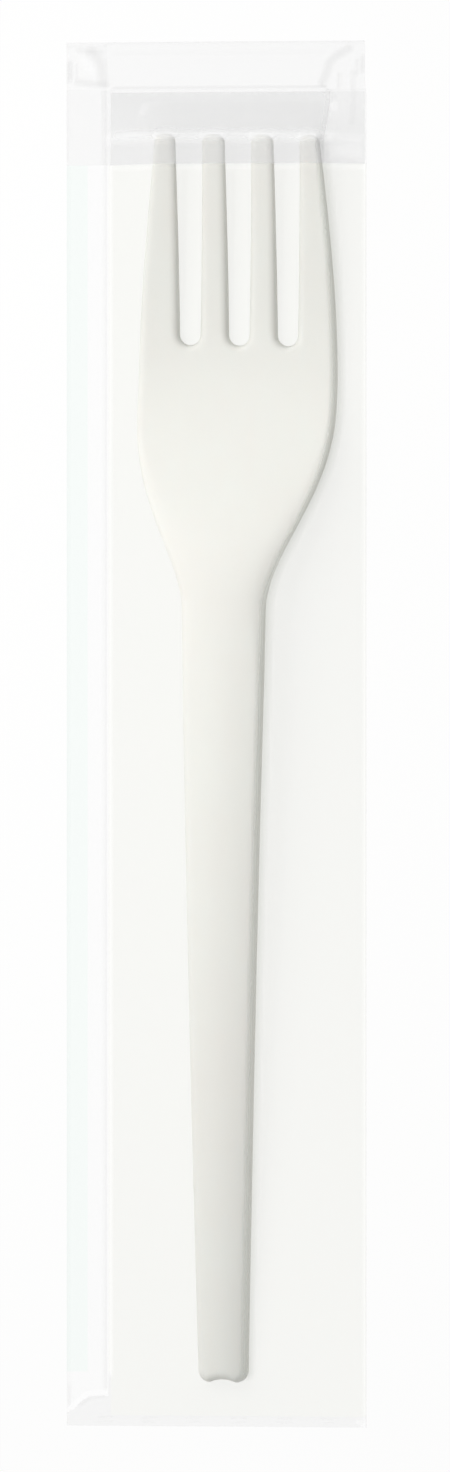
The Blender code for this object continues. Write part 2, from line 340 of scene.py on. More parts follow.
def slotHalf(distance):
    return 0.5 * (fs["slotWidth"] + fs["slotFlare"] * (1 - distance / fs["tineLength"]))


def slotMiddles():
    count = fs["tineCount"]
    return [fs["tinePitch"] * (i + 1 - 0.5 * count) for i in range(count - 1)]


slotRoot = fs["tineLength"] - 0.5 * fs["slotWidth"]


def tineEdges(number, distance):
    # Left and right side of a tine before its tip is rounded
    middles = slotMiddles()
    left = -halfWidth(distance) if number == 0 else middles[number - 1] + slotHalf(distance)
    last = number == fs["tineCount"] - 1
    right = halfWidth(distance) if last else middles[number] - slotHalf(distance)
    return left, right


def tineOutline(number):
    # Up the left side, round the tip and down the right side
    leftEnd, rightEnd = tineEdges(number, 0.0)
    radius = min(fs["tipRadius"], fs["roundest"] * (rightEnd - leftEnd))
    turns = quarterTurn(fs["cornerSteps"])
    side = np.linspace(slotRoot, radius, round((slotRoot - radius) / fs["edgeStep"]))
    left, right = tineEdges(number, side)
    up = np.column_stack([left, side])
    down = np.column_stack([right, side])[::-1]
    around = radius * (1 - np.sin(turns))
    leftTip, rightTip = tineEdges(number, around)
    inward = radius * (1 - np.cos(turns))
    tipLeft = np.column_stack([leftTip + inward, around])
    tipRight = np.column_stack([rightTip - inward, around])[::-1]
    return [up, tipLeft[1:], tipRight[:-1], down]


def forkOutline():
    # The fork's whole edge in plan as one loop of (x, distance)
    loop = []
    for number in range(fs["tineCount"]):
        loop += tineOutline(number)
        if number < fs["tineCount"] - 1:
            angles = np.radians(np.linspace(0, 180, fs["rootSteps"])[1:-1])
            gap = slotHalf(slotRoot)
            across = slotMiddles()[number] - gap * np.cos(angles)
            loop.append(np.column_stack([across, slotRoot + gap * np.sin(angles)]))
    radius = fs["cornerRadius"]
    cornerStart = fs["length"] - radius
    count = round((cornerStart - slotRoot) / fs["outerStep"])
    outer = np.linspace(slotRoot, cornerStart, count)[1:]
    right = np.column_stack([halfWidth(outer), outer])
    turns = quarterTurn(fs["cornerSteps"])[1:]
    reach = halfWidth(cornerStart + radius * np.sin(turns)) - radius * (1 - np.cos(turns))
    corner = np.column_stack([reach, cornerStart + radius * np.sin(turns)])
    end = np.linspace(1, -1, fs["endSteps"])[1:-1]
    pulled = fs["length"] - fs["endHollow"] * (1 - end * end)
    across = np.column_stack([end * reach[-1], pulled])
    mirrored = np.column_stack([-corner[::-1, 0], corner[::-1, 1]])
    left = np.column_stack([-right[::-1, 0], right[::-1, 1]])
    return np.vstack(loop + [right, corner, across, mirrored, left])


def inwardNormals(loop):
    # The direction into the fork at each point of its outline
    ahead = np.roll(loop, -1, axis=0) - loop
    ahead /= np.linalg.norm(ahead, axis=1)[:, None]
    tangent = ahead + np.roll(ahead, 1, axis=0)
    tangent /= np.linalg.norm(tangent, axis=1)[:, None]
    area = 0.5 * np.sum(loop[:, 0] * np.roll(loop[:, 1], -1) - np.roll(loop[:, 0], -1) * loop[:, 1])
    return math.copysign(1, area) * np.column_stack([-tangent[:, 1], tangent[:, 0]])


def nearNeck(distance):
    return smooth(1 - np.abs(distance - fs["neckFilletAt"]) / fs["neckFilletReach"])


def filletWidth(distance):
    return blend(fs["fillet"], fs["neckFillet"], nearNeck(distance))


def filletDepth(distance):
    share = blend(fs["filletShare"], fs["neckFilletShare"], nearNeck(distance))
    return share * wall(distance)


def insideFork(points):
    # The points that lie in the fork and not in a slot
    x, distance = points[:, 0], points[:, 1]
    inside = np.abs(x) < halfWidth(distance)
    for middle in slotMiddles():
        inside &= ~((np.abs(x - middle) < slotHalf(distance)) & (distance < slotRoot))
    return points[inside]


def edgeDistance(points, outline):
    # How far each point is from the nearest point of the outline
    nearest = np.full(len(points), np.inf)
    for part in np.array_split(outline, fs["searchParts"]):
        gaps = np.linalg.norm(points[:, None, :] - part[None, :, :], axis=2)
        nearest = np.minimum(nearest, gaps.min(axis=1))
    return nearest


def fillPoints(outline):
    # A staggered lattice over the fork, with rings round each ejector mark
    step = fs["fillStep"]
    reach = 0.5 * fs["headWidth"]
    lattice = []
    for k, distance in enumerate(np.arange(step, fs["length"], step * fs["fillRows"])):
        across = np.arange(-reach, reach, step) + 0.5 * step * (k % 2)
        lattice.append(np.column_stack([across, np.full(len(across), distance)]))
    points = insideFork(np.vstack(lattice))
    margin = filletWidth(points[:, 1]) + fs["fillMargin"] * step
    points = points[edgeDistance(points, outline) > margin]
    turns = np.linspace(0, 2 * math.pi, fs["ejectorSides"], endpoint=False)
    circle = np.column_stack([np.cos(turns), np.sin(turns)])
    for place in fs["ejectorMarks"]:
        away = np.hypot(points[:, 0], points[:, 1] - place)
        points = points[away > fs["ejectorRadius"] * fs["ejectorClear"]]
        for share in fs["ejectorRings"]:
            ring = fs["ejectorRadius"] * share * circle + [0.0, place]
            points = np.vstack([points, ring])
        points = np.vstack([points, [[0.0, place]]])
    return points


def ejectorDent(points):
    dent = np.zeros(len(points))
    for place in fs["ejectorMarks"]:
        away = np.hypot(points[:, 0], points[:, 1] - place) / fs["ejectorRadius"]
        dent += fs["ejectorDepth"] * smooth((fs["ejectorRim"] - away) / fs["ejectorSlope"])
    return dent


def forkPlace(points, height):
    # From the fork's own plan to its place in the bag
    turn = math.radians(fs["turn"])
    along = 0.5 * fs["length"] - points[:, 1]
    x = points[:, 0] * math.cos(turn) - along * math.sin(turn) + fs["middle"][0]
    y = points[:, 0] * math.sin(turn) + along * math.cos(turn) + fs["middle"][1]
    return np.column_stack([x, y, height])


def makeFork(material):
    outline = forkOutline()
    inward = inwardNormals(outline)
    count = len(outline)
    width = filletWidth(outline[:, 1])
    depth = filletDepth(outline[:, 1])
    angles = quarterTurn(fs["filletSteps"])

    rings = []  # from where the top starts to round off, over the edge, to the underside
    for side, turns in ((1, angles[::-1]), (-1, angles)):
        for angle in turns:
            drop = depth * (1 - math.sin(angle))
            below = drop if side == 1 else wall(outline[:, 1]) - drop
            shift = width * (1 - math.cos(angle)) - fs["draft"] * below
            place = outline + inward * shift[:, None]
            height = middleHeight(place[:, 0], place[:, 1])
            height = height + side * (0.5 * wall(outline[:, 1]) - drop)
            rings.append(forkPlace(place, height))
        if side == 1:
            for lift, out in ((0.5, 0.0), (0.0, 1.0), (-0.5, 0.0)):
                lean = 0.5 * fs["draft"] * wall(outline[:, 1])
                place = outline - inward * (out * fs["seam"] + lean)[:, None]
                height = middleHeight(outline[:, 0], outline[:, 1]) + lift * fs["seamWidth"]
                rings.append(forkPlace(place, height))

    inner = outline + inward * width[:, None]
    inside = fillPoints(outline)
    flat = np.vstack([inner, inside])
    loop = [(i, (i + 1) % count) for i in range(count)]
    insideOnly, tolerance = 1, 1e-9
    found = delaunay_2d_cdt([tuple(p) for p in flat], loop, [], insideOnly, tolerance)
    plan = np.array([(v[0], v[1]) for v in found[0]])
    triangles = found[2]
    source = [ids[0] if ids else -1 for ids in found[3]]

    points = [p for ring in rings for p in ring]
    faces = []
    for k in range(len(rings) - 1):
        start, below = k * count, (k + 1) * count
        for i in range(count):
            j = (i + 1) % count
            faces.append((start + i, below + i, below + j, start + j))
    for side, ringStart in ((1, 0), (-1, (len(rings) - 1) * count)):
        height = middleHeight(plan[:, 0], plan[:, 1]) + side * 0.5 * wall(plan[:, 1])
        if side == -1:
            height = height + ejectorDent(plan)
        placed = forkPlace(plan, height)
        index = []
        for i, origin in enumerate(source):
            if 0 <= origin < count:
                index.append(ringStart + origin)
            else:
                index.append(len(points))
                points.append(placed[i])
        faces += [tuple(index[v] for v in face) for face in triangles]

    piece = meshPiece("mouldedFork", points, faces, [material])
    shape = bmesh.new()
    shape.from_mesh(piece.data)
    bmesh.ops.recalc_face_normals(shape, faces=shape.faces)
    shape.to_mesh(piece.data)
    shape.free()
    return piece


def forkPlan(x, y):
    # Places on the table in the fork's own plan: across it, and along it from the tips
    turn = math.radians(fs["turn"])
    awayX, awayY = x - fs["middle"][0], y - fs["middle"][1]
    across = awayX * math.cos(turn) + awayY * math.sin(turn)
    return across, 0.5 * fs["length"] - (awayY * math.cos(turn) - awayX * math.sin(turn))


def forkTop(x, y):
    # Height of the fork's upper surface over places on the table, with the slots filled in
    ownX, distance = forkPlan(x, y)
    along = np.clip(distance, 0, fs["length"])
    half = halfWidth(along)
    over = (distance >= 0) & (distance <= fs["length"]) & (np.abs(ownX) <= half)
    across = np.clip(ownX, -half, half)
    edge = np.minimum(half - np.abs(across), np.minimum(along, fs["length"] - along))
    inFillet = np.clip(1 - edge / filletWidth(along), 0, 1)
    drop = filletDepth(along) * (1 - np.sqrt(1 - inFillet**2))
    top = middleHeight(across, along) + 0.5 * wall(along) - drop
    return np.where(over, top, 0.0)


# Injection-moulded bioplastic: milky off-white, satin, with a fine sparked skin and faint
# flow clouds from the moulding, so that it never looks like one flat paint
bioplasticSettings = {
    "pale": "#F0F1EC",
    "warm": "#EFEDE8",
    "tips": 0.92,  # painted shade: towards the tines' tips the colour is made a little darker than at the handle
    "tipShadeFrom": 36.0 * mm,  # along +Y
    "tipShadeTo": 62.0 * mm,
    "cloudSize": 14.0 * mm,
    "cloudDetail": 3.0,
    "flowWidth": 1.6 * mm,
    "flowLength": 24.0 * mm,
    "flowDetail": 4.0,
    "flowShare": 0.5,
    "warmFrom": 0.45,  # clouds and flow lines together, where the warmer colour starts
    "warmTo": 1.05,
    "sparkSize": 0.35 * mm,  # the real grit is about 0.05 mm, too fine to show
    "sparkDetail": 2.0,
    "sparkDepth": 0.012 * mm,
    "roughness": (0.5, 0.6),
    "ior": 1.4,
    "scatter": 0.12,
    "scatterDepth": 0.5 * mm,
    "scatterShares": (1.0, 0.9, 0.8),  # of the depth, for red, green and blue
}


def makeBioplastic(s):
    material = bpy.data.materials.new("injection-moulded bioplastic")
    material.use_nodes = True
    tree = material.node_tree
    tree.nodes.clear()
    place = addNode(tree, "ShaderNodeTexCoord").outputs["Object"]
    clouds = addNode(
        tree, "ShaderNodeTexNoise", None,
        {"Vector": place, "Scale": 1 / s["cloudSize"], "Detail": s["cloudDetail"]},
    )
    along = addNode(
        tree, "ShaderNodeMapping", None,
        {"Vector": place, "Scale": (1 / s["flowWidth"], 1 / s["flowLength"], 1 / s["flowWidth"])},
    )
    flow = addNode(
        tree, "ShaderNodeTexNoise", None,
        {"Vector": along.outputs[0], "Scale": 1.0, "Detail": s["flowDetail"]},
    )
    both = addNode(
        tree, "ShaderNodeMath", {"operation": "MULTIPLY_ADD"},
        {0: flow.outputs[0], 1: s["flowShare"], 2: clouds.outputs[0]},
    )
    amount = addNode(
        tree, "ShaderNodeMapRange", None,
        {"Value": both.outputs[0], "From Min": s["warmFrom"], "From Max": s["warmTo"]},
    )
    colour = addNode(
        tree, "ShaderNodeMix", {"data_type": "RGBA"},
        {"Factor": amount.outputs[0], 6: linear(s["pale"]), 7: linear(s["warm"])},
    )
    beyond = addNode(tree, "ShaderNodeSeparateXYZ", None, {"Vector": place})
    # Painted shade: the colour darkens along +Y towards the tines' tips
    fade = addNode(
        tree, "ShaderNodeMapRange", {"interpolation_type": "SMOOTHSTEP"},
        {
            "Value": beyond.outputs["Y"], "From Min": s["tipShadeFrom"], "From Max": s["tipShadeTo"],
            "To Min": 1.0, "To Max": s["tips"],
        },
    )
    skin = addNode(
        tree, "ShaderNodeVectorMath", {"operation": "SCALE"},
        {0: colour.outputs[2], "Scale": fade.outputs[0]},
    )
    spark = addNode(
        tree, "ShaderNodeTexNoise", None,
        {"Vector": place, "Scale": 1 / s["sparkSize"], "Detail": s["sparkDetail"]},
    )
    bump = addNode(
        tree, "ShaderNodeBump", None,
        {"Height": spark.outputs[0], "Distance": s["sparkDepth"], "Strength": 1.0},
    )
    low, high = s["roughness"]
    gloss = addNode(
        tree, "ShaderNodeMapRange", None,
        {"Value": clouds.outputs[0], "To Min": low, "To Max": high},
    )
    shader = addNode(
        tree, "ShaderNodeBsdfPrincipled", None,
        {
            "Base Color": skin.outputs[0],
            "Roughness": gloss.outputs[0],
            "IOR": s["ior"],
            "Subsurface Weight": s["scatter"],
            "Subsurface Scale": s["scatterDepth"],
            "Subsurface Radius": s["scatterShares"],
            "Normal": bump.outputs[0],
        },
    )
    addNode(tree, "ShaderNodeOutputMaterial", None, {"Surface": shader.outputs[0]})
    return material


fork = makeFork(makeBioplastic(bioplasticSettings))
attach(fork, "root")
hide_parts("fork")
print("fork", len(fork.data.polygons), "faces")


# Film bag: one sheet, folded along its right edge, welded on the left and across the lower
# end. Its back panel turns over at the top and comes down in front as the flap

bagLow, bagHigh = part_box("film_bag")
filmSettings = {
    "left": bagLow[0],
    "right": bagHigh[0],
    "bottom": bagLow[1],
    "top": bagHigh[1],
    "film": 0.05 * mm,  # room that each layer takes where they lie on each other
    "sideWeld": 5.6 * mm,
    "weldRim": 2.6 * mm,  # of the side weld's width that cooled clear
    "endWeld": 1.3 * mm,
    "mouth": 6.5 * mm,  # from the top fold down to the lip of the front panel
    "flap": 16.5 * mm,  # from the top fold down to the flap's free edge
    "tackTop": 0.38 * mm,  # from the lip down to where the flap is tacked to the panel
    "tackLeft": 0.6 * mm,  # from the side weld to the tack
    "tackRight": 4.9 * mm,  # from the right fold to where the tack gets loose
    "pressed": 8.0 * mm,  # from the top fold down to where the flap presses the panel flat
    "weldGap": 0.02 * mm,
    "slack": 0.3 * mm,  # height of the loose front panel where nothing lies under it
    "overFork": 0.15 * mm,
    "aroundFork": 0.4 * mm,  # how far beside the fork the film still lies over it
    "flapLift": 0.12 * mm,
    "edgeShadowReach": 1.5 * mm,  # how far beyond the fork's right edge the film looks milkier: painted shadow on the fork's shaded side
    "edgeShadowMilk": 0.19,
    "slotShadowReach": 0.8 * mm,
    "slotShadowMilk": 0.04,
    "edgeReflectionReach": 0.7 * mm,  # how far beside the fork's right edges the film is whitened: a painted reflection
    "edgeReflectionWhite": 0.18,
    "edgeMarkStart": 0.4 * mm,  # over which it fades in, on the fork's side of the edge
    "edgeMarkFade": 1.0 * mm,  # over which both marks fade in at the tips and out at the end
    "edgeMarkTips": 0.5 * mm,  # how far before the tips they start
    "edgeMarkEnd": 0.2 * mm,  # how far before the handle's end they stop
    # Painted highlight: a light band across the flap where it bends over the tines' tips
    "highlightBand": [(-13.4, 79.25), (-6.0, 79.4), (1.0, 79.3), (8.0, 79.4), (15.2, 79.1)],  # in mm
    "bandHalf": 1.0,  # half its width, in mm
    "bandHighlight": 0.17,
    "overTips": 0.1 * mm,  # from a tine's tip up to the whitest line
    "tipHalf": 0.9,
    "tipHighlight": 0.3,
    "settleRounds": 6000,
    "lipStep": 0.13 * mm,
    "fineStep": 0.35 * mm,
    "wideStep": 0.42 * mm,
    "rowStep": 1.1 * mm,
    "fineAtWeld": 1.5 * mm,  # how far the fine steps reach beyond the side weld
    "fineAtFold": 6.0 * mm,
    "fineAtEnd": 5.0 * mm,
    "fineAtFlap": 3.0 * mm,
    "fineAtLip": 0.8 * mm,
    "foldSteps": 5,
    "mitre": ((-20.35, -17.4, -14.75), (-90.4, -88.1, -87.9)),  # lower left corner fold, in mm
    "tintEnd": -85.3 * mm,  # below it the weld is clear over its whole width
    "cornerRight": -14.2 * mm,  # of the plain film below the corner fold
}
bs = filmSettings
weldEdge = bs["left"] + bs["sideWeld"]
weldRim = weldEdge - bs["weldRim"]
tackLeft = weldEdge + bs["tackLeft"]
tackRight = bs["right"] - bs["tackRight"]
flapEdge = bs["top"] - bs["flap"]
lipEdge = bs["top"] - bs["mouth"]
tackTop = lipEdge - bs["tackTop"]

# Creases and lines in the film: a line in plan, its half width, how high it stands, and how
# much milkier (or, below zero, clearer) the film is along it
# A clearer line shows lighter: a painted highlight along a fold or edge
filmCreases = {
    "front": [
        ([(-20.2, -90), (-20.2, 92)], 0.35, 0.0, 0.02),
        ([(-15.1, -87), (-15.1, 92)], 0.42, 0.05, 0.035),
        ([(-14.4, -85.5), (-14.4, 75.3)], 0.4, 0.0, -0.04),
        ([(-13.8, 75.1), (19.9, 75.1)], 0.5, 0.0, -0.015),
        ([(19.95, -92), (19.95, 76)], 0.4, 0.0, -0.025),
        ([(-15.1, -87.6), (-17.4, -87.7), (-18.7, -88.7), (-20.2, -90.0)], 0.4, 0.1, -0.03),
        ([(-15.2, -88.1), (-17.3, -88.3), (-18.6, -89.3)], 0.3, 0.04, 0.03),
        ([(-19.9, -86.6), (-19.9, -89.2)], 0.3, 0.05, 0.03),
        ([(19.0, -91.3), (20.2, -91.9)], 0.5, 0.15, -0.02),
    ],
    "flap": [
        ([(-20.3, 91.4), (-15, 91.4)], 0.6, 0.05, 0.03),
        ([(-18.6, 90.8), (-15.6, 90.6)], 0.7, 0.1, 0.06),
        ([(-16.9, 90.5), (-16.0, 89.7), (-15.6, 88.7)], 1.2, 0.2, 0.1),
        ([(-15.5, 87.6), (-15.4, 86.7)], 1.15, 0.12, 0.09),
        ([(-18.7, 86.55), (-15.0, 86.2)], 0.8, 0.15, 0.09),
        ([(-19.85, 89.1), (-19.85, 86.9)], 0.6, 0.12, 0.12),
        ([(-18.95, 88.8), (-18.95, 86.9)], 0.4, 0.06, 0.05),
        ([(-18.0, 89.3), (-16.9, 88.2)], 1.0, 0.1, -0.02),
        ([(17.9, 90.8), (16.4, 90.0), (15.3, 89.0), (14.8, 87.4), (14.3, 86.4)], 0.9, 0.3, 0.09),
        ([(14.3, 86), (15.9, 84.4)], 0.5, 0.2, 0.05),
        ([(15.1, 85.2), (15.3, 80.2)], 0.5, 0.1, 0.03),
        ([(18.45, 87.6), (18.45, 81.0)], 0.65, 0.1, 0.05),
        ([(19.0, 89.2), (18.9, 87.4)], 0.5, 0.06, 0.05),
        ([(16.6, 87.4), (16.5, 85.7)], 0.5, 0.12, 0.05),
        ([(19.8, 89.6), (19.7, 87.9)], 0.6, 0.15, 0.08),
        ([(-15.25, 85.2), (-15.25, 75.2)], 0.45, 0.05, 0.05),
        # Painted highlight: the next two lines make the flap clearer along the band over the tines'
        # tips
        ([(-14.0, 79.0), (15.4, 79.1)], 1.4, 0.05, -0.09),
        ([(16.4, 79.1), (20.3, 78.7)], 1.2, 0.05, -0.05),
        ([(19.9, 79.0), (19.9, 75.6)], 0.4, 0.06, 0.02),
        ([(-13.8, 85.77), (14.6, 85.77)], 0.36, 0.0, 0.08),
        ([(-13.8, 85.32), (14.2, 85.32)], 0.25, 0.05, -0.02),
        ([(17.0, 77.2), (19.4, 77.0)], 1.7, 0.0, -0.06),
        ([(-13.8, 90.4), (14.6, 90.4)], 0.35, 0.06, 0.015),
        ([(-14.5, 91.7), (20.3, 91.7)], 0.3, 0.0, 0.02),
    ],
}


def highlightLines():
    # Painted highlights on the flap: a light band along the tips, lightest over the tip of each
    # tine
    lines = [(bs["highlightBand"], bs["bandHalf"], bs["bandHighlight"])]
    for number in range(fs["tineCount"]):
        ends = np.array([[edge, -bs["overTips"]] for edge in tineEdges(number, 0.0)])
        placed = forkPlace(ends, np.zeros(2)) / mm
        lines.append(([tuple(p[:2]) for p in placed], bs["tipHalf"], bs["tipHighlight"]))
    return lines


def ruler(stops):
    # Places from one stop to the next, each stretch with its own spacing
    places = [stops[0][0]]
    for (start, step), (end, _) in zip(stops, stops[1:]):
        places += list(np.linspace(start, end, max(1, round((end - start) / step)) + 1)[1:])
    return np.array(places)


def filmColumns():
    return ruler(
        [
            (bs["left"], bs["fineStep"]),
            (weldEdge + bs["fineAtWeld"], bs["wideStep"]),
            (bs["right"] - bs["fineAtFold"], bs["fineStep"]),
            (bs["right"] - bs["slack"], 1.0),
        ]
    )


def filmRows():
    # The lip, the flap's edge and the weld each fall on a row
    return ruler(
        [
            (bs["bottom"], bs["fineStep"]),
            (bs["bottom"] + bs["fineAtEnd"], bs["rowStep"]),
            (flapEdge - bs["fineAtFlap"], bs["fineStep"]),
            (flapEdge, bs["fineStep"]),
            (tackTop, bs["lipStep"]),
            (lipEdge, bs["lipStep"]),
            (lipEdge + bs["fineAtLip"], bs["fineStep"]),
            (bs["top"] - bs["slack"], 1.0),
        ]
    )


def lineDistance(x, y, line):
    # Distance from places to the nearest stretch of a line, in its own millimetres
    nearest = np.full_like(x, np.inf)
    for (ax, ay), (bx, by) in zip(line, line[1:]):
        alongX, alongY = (bx - ax) * mm, (by - ay) * mm
        share = ((x - ax * mm) * alongX + (y - ay * mm) * alongY) / (alongX**2 + alongY**2)
        share = np.clip(share, 0, 1)
        away = np.hypot(x - ax * mm - share * alongX, y - ay * mm - share * alongY)
        nearest = np.minimum(nearest, away)
    return nearest


def edgeShare(past, reach):
    # From an edge outwards the effect fades over its reach, and inwards it fades at once
    outwards = np.clip(1 - past / reach, 0, 1)
    inwards = np.clip(1 + past / bs["edgeMarkStart"], 0, 1)
    return np.where(past > 0, outwards, inwards)


def besideRightEdges(x, y, reach, slotReach):
    # How near the film is to the right side of the fork, and to that of its inner tines: where the
    # painted shadow and the painted reflection go
    across, distance = forkPlan(x, y)
    fade = bs["edgeMarkFade"]
    fromTips = smooth((distance + bs["edgeMarkTips"]) / fade)
    toEnd = smooth((fs["length"] - bs["edgeMarkEnd"] - distance) / fade)
    inReach = fromTips * toEnd
    along = np.clip(distance, 0, fs["length"])
    beside = edgeShare(across - halfWidth(along), reach) * inReach
    slots = sum(edgeShare(across - middle + slotHalf(along), slotReach) for middle in slotMiddles())
    return beside, slots * inReach * smooth((slotRoot - distance) / fade)


def creased(x, y, layer):
    # Height and milkiness that a layer's creases add at places in plan
    lift, mark = np.zeros_like(x), np.zeros_like(x)
    for line, width, height, milk in filmCreases[layer]:
        share = smooth(1 - lineDistance(x, y, line) / (width * mm))
        lift += height * mm * share
        mark += milk * share
    return lift, mark


def drape(gridX, gridY):
    # The front panel settles like a sheet stretched over the fork from its welds and folds
    xs, ys = gridX[0], gridY[:, 0]
    least = np.full_like(gridX, bs["slack"])
    held = (gridX <= weldEdge) | (gridY <= bs["bottom"] + bs["endWeld"])
    shifts = (-bs["aroundFork"], 0.0, bs["aroundFork"])
    for shiftX in shifts:
        for shiftY in shifts:
            top = forkTop(gridX + shiftX, gridY + shiftY)
            least = np.maximum(least, np.where(top > 0, top + bs["overFork"], 0.0))
    least[held] = 1.5 * bs["film"] + bs["weldGap"]  # half way through the upper of two layers
    pressed = gridY >= bs["top"] - bs["pressed"]
    least[pressed & ~held] = bs["slack"]
    held |= pressed
    held[:, -1] = True
    heights = least.copy()
    left, right = np.diff(xs)[:-1], np.diff(xs)[1:]
    down, up = np.diff(ys)[:-1, None], np.diff(ys)[1:, None]
    pullX, pullY = 1 / (left * right), 1 / (down * up)
    free = ~held[1:-1, 1:-1]
    for _ in range(bs["settleRounds"]):
        beside = (heights[1:-1, :-2] * right + heights[1:-1, 2:] * left) / (left + right)
        along = (heights[:-2, 1:-1] * up + heights[2:, 1:-1] * down) / (down + up)
        settled = (beside * pullX + along * pullY) / (pullX + pullY)
        settled = np.maximum(settled, least[1:-1, 1:-1])
        heights[1:-1, 1:-1] = np.where(free, settled, heights[1:-1, 1:-1])
    return heights


def inWeld(x, y):
    # The welded strip ends at the corner fold
    across, along = bs["mitre"]
    return (x < weldEdge) & (y > np.interp(x / mm, across, along) * mm)


def filmFinish(layer, x, y):
    # Which of the finishes below the film has at a place in one of its layers
    if inWeld(x, y):
        if y > flapEdge:
            return "welded flap film"
        tinted = x < weldRim and y > bs["tintEnd"]
        return "heat-welded film" if tinted else "clear rim of the weld"
    if layer == "flap":
        if y > tackTop or x < tackLeft:
            return "folded flap film"
        return "tacked flap film" if x < tackRight else "loosely tacked flap film"
    if y < bs["bottom"] + bs["endWeld"] or (x < bs["cornerRight"] and y < bs["tintEnd"]):
        return "film of the end weld"
    return "clear cast film under the flap" if y > flapEdge else "clear cast film over the pocket"


def makeFilm(materials):
    # The whole sheet, with a named material for each finish
    xs, ys = filmColumns(), filmRows()
    gridX, gridY = np.meshgrid(xs, ys)
    heights = drape(gridX, gridY)
    frontLift, frontMark = creased(gridX, gridY, "front")
    # Painted shadow: milkier film beside the right side of the fork and of each inner tine
    beside, slotSides = besideRightEdges(gridX, gridY, bs["edgeShadowReach"], bs["slotShadowReach"])
    edgeShadowMark = bs["edgeShadowMilk"] * beside + bs["slotShadowMilk"] * slotSides
    flapLift, flapMark = creased(gridX, gridY, "flap")
    overFlap = gridY > flapEdge
    shared = np.where(overFlap, flapLift, 0.0)
    low = 0.5 * bs["film"]
    lip = int(np.argmin(np.abs(ys - lipEdge)))
    edge = int(np.argmin(np.abs(ys - flapEdge)))
    points, marks, layers, strips = [], [], [], []

    def strip(*parts):
        # One row across the sheet from (layer, points, marks)
        start = len(points)
        for layer, row, rowMarks in parts:
            points.extend(row)
            marks.extend(rowMarks)
            layers.extend([layer] * len(row))
        strips.append(list(range(start, len(points))))

    # Each row of the bag runs across the front, round the right fold and back underneath
    for j, y in enumerate(ys):
        back = ("back", [(x, y, low) for x in xs[::-1]], frontMark[j][::-1])
        if j > lip:
            strip(back)
            continue
        level = heights[j] + frontLift[j] + shared[j]
        front = ("front", [(x, y, z) for x, z in zip(xs, level)], frontMark[j] + edgeShadowMark[j])
        radius = 0.5 * (level[-1] - low)
        turns = [math.pi * k / bs["foldSteps"] for k in range(1, bs["foldSteps"])]
        fold = [
            (xs[-1] + 0.5 * bs["slack"] * math.sin(a), y, low + radius * (1 + math.cos(a)))
            for a in turns
        ]
        strip(front, ("front", fold, [0.0] * len(fold)), back)
    topHeight = bs["slack"] + bs["flapLift"]
    radius = 0.5 * (topHeight - low)
    for k in range(1, bs["foldSteps"]):
        angle = math.pi * k / bs["foldSteps"]
        y = ys[-1] + 0.5 * bs["slack"] * math.sin(angle)
        z = low + radius * (1 - math.cos(angle))
        strip(("flap", [(x, y, z) for x in xs[::-1]], [0.0] * len(xs)))
    for j in range(len(ys) - 1, edge - 1, -1):
        level = np.maximum(heights[j], bs["slack"]) + bs["flapLift"] + flapLift[j]
        strip(("flap", [(x, ys[j], z) for x, z in zip(xs[::-1], level[::-1])], flapMark[j][::-1]))

    faces, slots = [], []
    finishes = list(materials)
    for first, second in zip(strips, strips[1:]):
        wide = min(len(first), len(second))
        for a, b, c, d in zip(first[-wide:], first[1 - wide :], second[1 - wide :], second[-wide:]):
            faces.append((a, b, c, d))
            middle = np.mean([points[v][:2] for v in (a, b, c, d)], axis=0)
            slots.append(finishes.index(filmFinish(layers[c], *middle)))
    piece = meshPiece("foldedFilm", points, faces, materials.values(), slots)
    placed = np.array([p[:2] for p in points])
    onFlap, onFront = (np.array(layers) == name for name in ("flap", "front"))
    # Painted reflection: the front is whitened just beside the fork's right edges
    reflectionBeside, _ = besideRightEdges(placed[:, 0], placed[:, 1], bs["edgeReflectionReach"], bs["slotShadowReach"])
    white = np.where(onFront, bs["edgeReflectionWhite"] * reflectionBeside, 0.0)
    # Painted highlights: the flap is whitened along the band over the tips and over each tip
    for line, width, share in highlightLines():
        away = lineDistance(placed[:, 0], placed[:, 1], line)
        white += np.where(onFlap, share * smooth(1 - away / (width * mm)), 0.0)
    for name, values in (("mark", marks), ("white", white)):
        attribute = piece.data.attributes.new(name, "FLOAT", "POINT")
        attribute.data.foreach_set("value", np.array(values, dtype=np.float32))
    return piece


# Cast polypropylene film: almost invisible face on, with a faint grey-green cast, milkier where
# it is seen on edge, creased or stacked, and glossy at low angles. The film is a single sheet of
# faces, so each stands for both of its sides, and milk is given for one side
filmFinishes = {
    "clear cast film over the pocket": {
        "milk": 0.027, "milkColour": "#B8BCAC", "tint": "#FFFFFE", "deepest": 1.15,
    },
    "clear cast film under the flap": {"milk": 0.028, "deepest": 1.0},
    "heat-welded film": {"milk": 0.004, "milkColour": "#A8C4C0", "tint": "#FCFEFD"},
    "clear rim of the weld": {"milk": 0.009},
    "welded flap film": {"milk": 0.02},
    "folded flap film": {"milk": 0.028},
    "tacked flap film": {"milk": 0.2, "milkColour": "#CECECE", "deepest": 1.0},
    "loosely tacked flap film": {"milk": 0.095, "milkColour": "#CECECE", "deepest": 1.0},
    "film of the end weld": {"milk": 0.032, "milkColour": "#BCBCBA"},
    "pressed weld film": {"milk": 0.009},
}
filmDefaults = {
    "milkColour": "#BCBCBC",
    "tint": "#FFFFFF",
    "highlightColour": "#FCFCFC",
    "deepest": 2.0,  # most times the film's own thickness that a slanting look goes through
    "sides": 2.0,
    "mirror": 0.04,  # face on
    "grazing": 5.0,  # how late the mirror grows towards low angles
    "roughness": 0.12,
}


